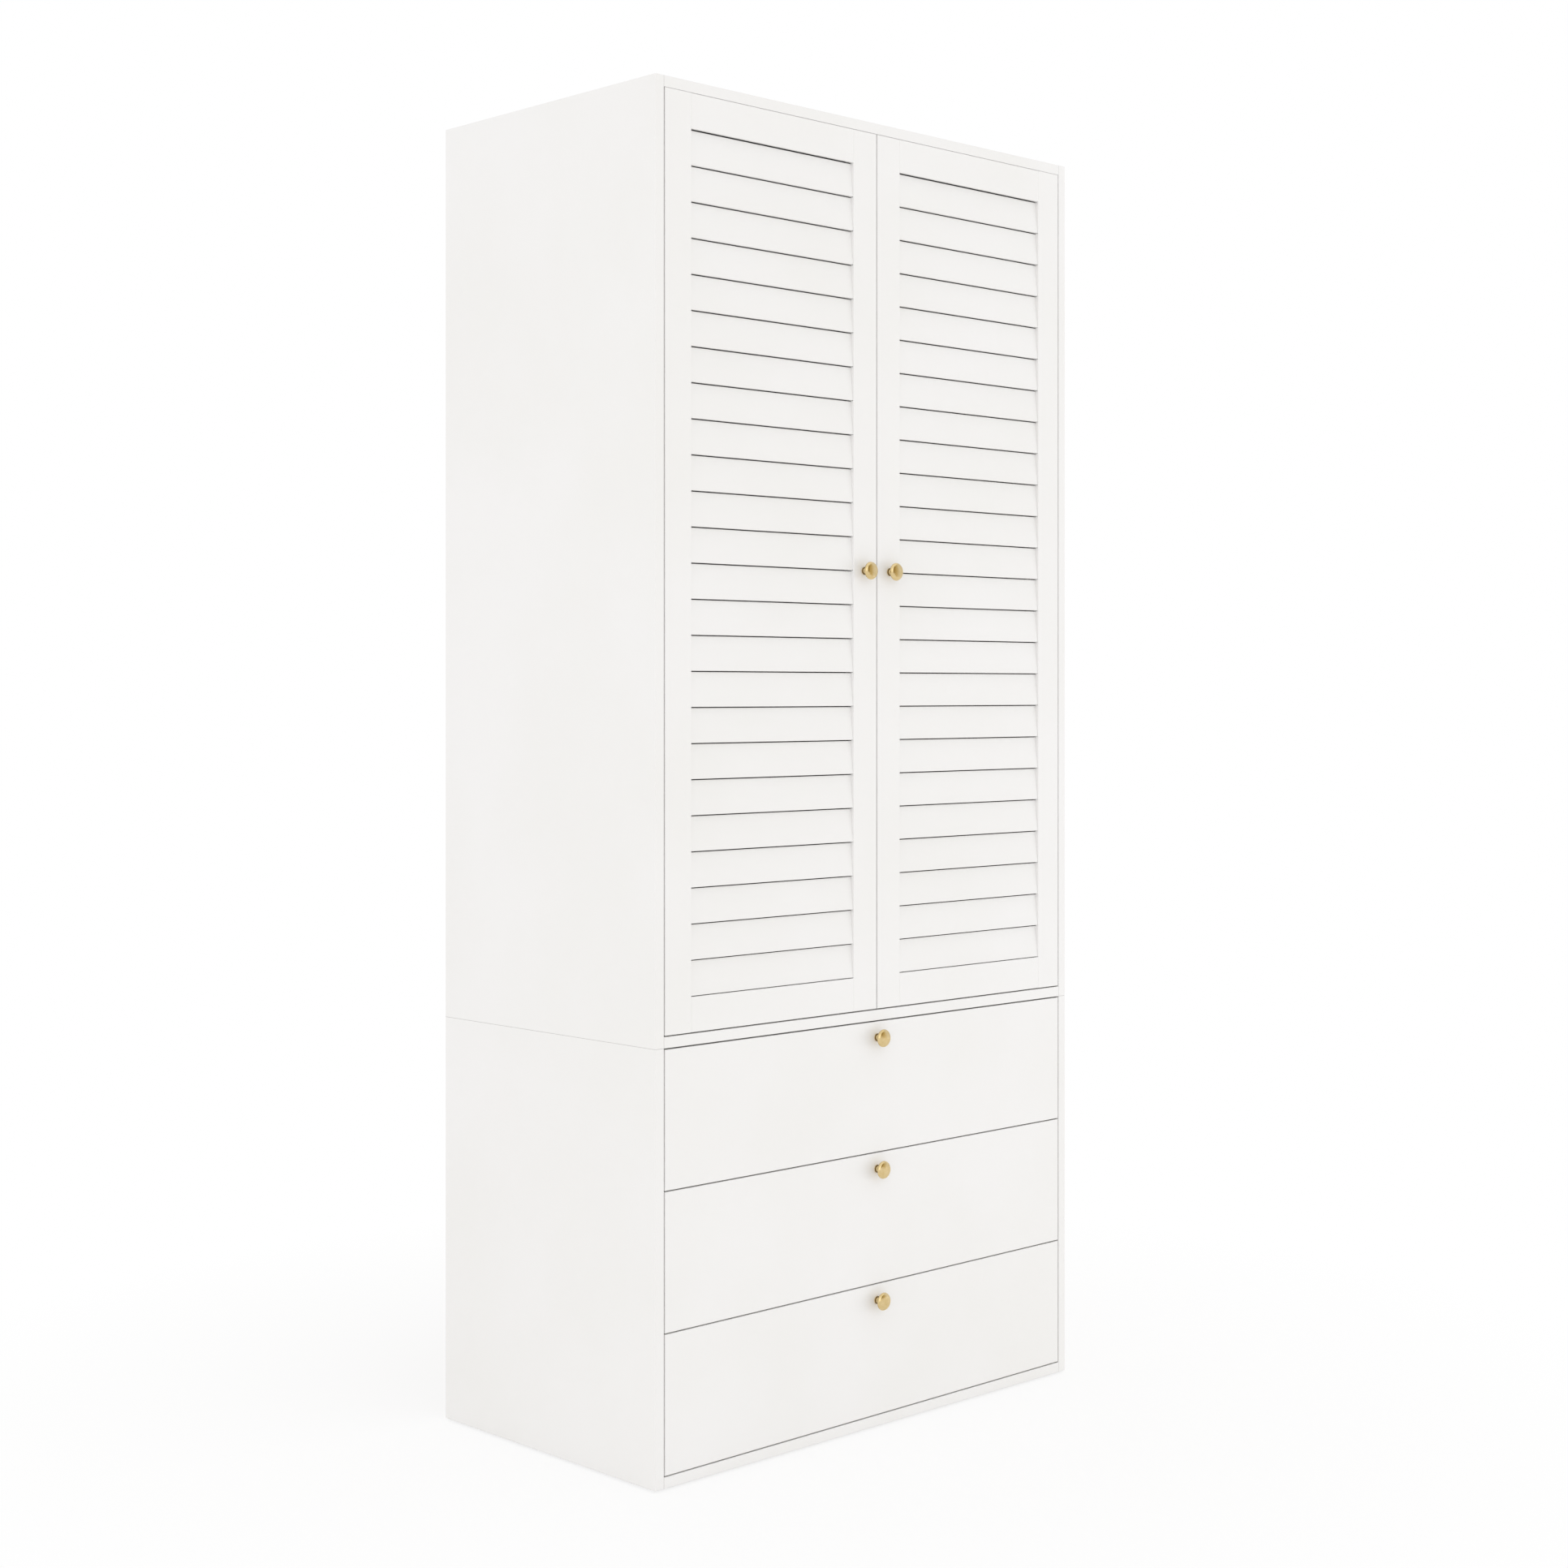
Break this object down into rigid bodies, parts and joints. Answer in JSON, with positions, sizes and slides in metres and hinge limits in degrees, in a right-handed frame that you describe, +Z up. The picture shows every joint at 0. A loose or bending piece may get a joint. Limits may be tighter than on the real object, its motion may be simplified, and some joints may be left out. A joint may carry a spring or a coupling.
{
  "type": "louvred door cabinet",
  "caption": "Tall white cupboard with a pair of louvred doors over shelves, full-width drawers below and small turned brass knobs.",
  "frame": {"origin": "bottom centre of the whole cabinet, knobs included, on the floor under it", "axes": "+Z up; the doors and drawers face -Y; +X is the viewer's right when facing the doors"},
  "size_m": [0.9, 0.5146, 2],
  "materials": {
    "satin_white_lacquer": "satin lacquer sprayed on fibreboard",
    "white_faced_hardboard": "thin white-faced hardboard",
    "birch_plywood": "clear lacquered plywood",
    "satin_brass": "satin turned brass",
    "nickel_plated_steel": "nickel plated, pressed",
    "zinc_plated_steel": "zinc plated, roll-formed",
    "moulded_polyethylene": "moulded"
  },
  "bodies": {
    "cabinet": {"cabinet_runners": "zinc_plated_steel", "case_bolts": "nickel_plated_steel", "divider_panel": "satin_white_lacquer", "floor_glides": "moulded_polyethylene", "floor_panel": "satin_white_lacquer", "front_stretcher": "satin_white_lacquer", "hinge_arms": "nickel_plated_steel", "hinge_plates": "nickel_plated_steel", "lower_back_panel": "white_faced_hardboard", "lower_left_side": "satin_white_lacquer", "lower_right_side": "satin_white_lacquer", "lower_shelf": "satin_white_lacquer", "middle_shelf": "satin_white_lacquer", "rear_stretcher": "satin_white_lacquer", "shelf_pins": "nickel_plated_steel", "top_panel": "satin_white_lacquer", "upper_back_panel": "white_faced_hardboard", "upper_left_side": "satin_white_lacquer", "upper_right_side": "satin_white_lacquer", "upper_shelf": "satin_white_lacquer", "wall_rail": "satin_white_lacquer"},
    "left_door": {"left_bottom_rail": "satin_white_lacquer", "left_door_knob": "satin_brass", "left_hinge_cups": "nickel_plated_steel", "left_hinge_stile": "satin_white_lacquer", "left_louvres": "satin_white_lacquer", "left_meeting_stile": "satin_white_lacquer", "left_top_rail": "satin_white_lacquer"},
    "right_door": {"right_bottom_rail": "satin_white_lacquer", "right_door_knob": "satin_brass", "right_hinge_cups": "nickel_plated_steel", "right_hinge_stile": "satin_white_lacquer", "right_louvres": "satin_white_lacquer", "right_meeting_stile": "satin_white_lacquer", "right_top_rail": "satin_white_lacquer"},
    "bottom_drawer": {"bottom_drawer_back": "birch_plywood", "bottom_drawer_bottom": "birch_plywood", "bottom_drawer_front": "satin_white_lacquer", "bottom_drawer_knob": "satin_brass", "bottom_drawer_left_side": "birch_plywood", "bottom_drawer_right_side": "birch_plywood", "bottom_drawer_runners": "zinc_plated_steel"},
    "bottom_drawer_middle_runners": {"bottom_drawer_middle_runners": "zinc_plated_steel"},
    "middle_drawer": {"middle_drawer_back": "birch_plywood", "middle_drawer_bottom": "birch_plywood", "middle_drawer_front": "satin_white_lacquer", "middle_drawer_knob": "satin_brass", "middle_drawer_left_side": "birch_plywood", "middle_drawer_right_side": "birch_plywood", "middle_drawer_runners": "zinc_plated_steel"},
    "middle_drawer_middle_runners": {"middle_drawer_middle_runners": "zinc_plated_steel"},
    "top_drawer": {"top_drawer_back": "birch_plywood", "top_drawer_bottom": "birch_plywood", "top_drawer_front": "satin_white_lacquer", "top_drawer_knob": "satin_brass", "top_drawer_left_side": "birch_plywood", "top_drawer_right_side": "birch_plywood", "top_drawer_runners": "zinc_plated_steel"},
    "top_drawer_middle_runners": {"top_drawer_middle_runners": "zinc_plated_steel"}
  },
  "joints": [
    {"name": "left_door_hinge", "type": "hinge", "parent": "cabinet", "child": "left_door", "pos_m": [-0.406, -0.22825, 1.3132], "axis": [0, 0, -1], "range_deg": [0, 100]},
    {"name": "right_door_hinge", "type": "hinge", "parent": "cabinet", "child": "right_door", "pos_m": [0.406, -0.22825, 1.3132], "axis": [0, 0, 1], "range_deg": [0, 100]},
    {"name": "bottom_drawer_slide", "type": "slide", "parent": "cabinet", "child": "bottom_drawer", "axis": [0, -1, 0], "range_m": [0, 0.45]},
    {"name": "bottom_drawer_middle_slide", "type": "slide", "parent": "cabinet", "child": "bottom_drawer_middle_runners", "axis": [0, -1, 0], "range_m": [0, 0.225]},
    {"name": "middle_drawer_slide", "type": "slide", "parent": "cabinet", "child": "middle_drawer", "axis": [0, -1, 0], "range_m": [0, 0.45]},
    {"name": "middle_drawer_middle_slide", "type": "slide", "parent": "cabinet", "child": "middle_drawer_middle_runners", "axis": [0, -1, 0], "range_m": [0, 0.225]},
    {"name": "top_drawer_slide", "type": "slide", "parent": "cabinet", "child": "top_drawer", "axis": [0, -1, 0], "range_m": [0, 0.45]},
    {"name": "top_drawer_middle_slide", "type": "slide", "parent": "cabinet", "child": "top_drawer_middle_runners", "axis": [0, -1, 0], "range_m": [0, 0.225]}
  ],
  "couplings": [
    {"joint": "bottom_drawer_middle_slide", "follows": "bottom_drawer_slide", "ratio": 0.5},
    {"joint": "middle_drawer_middle_slide", "follows": "middle_drawer_slide", "ratio": 0.5},
    {"joint": "top_drawer_middle_slide", "follows": "top_drawer_slide", "ratio": 0.5}
  ]
}
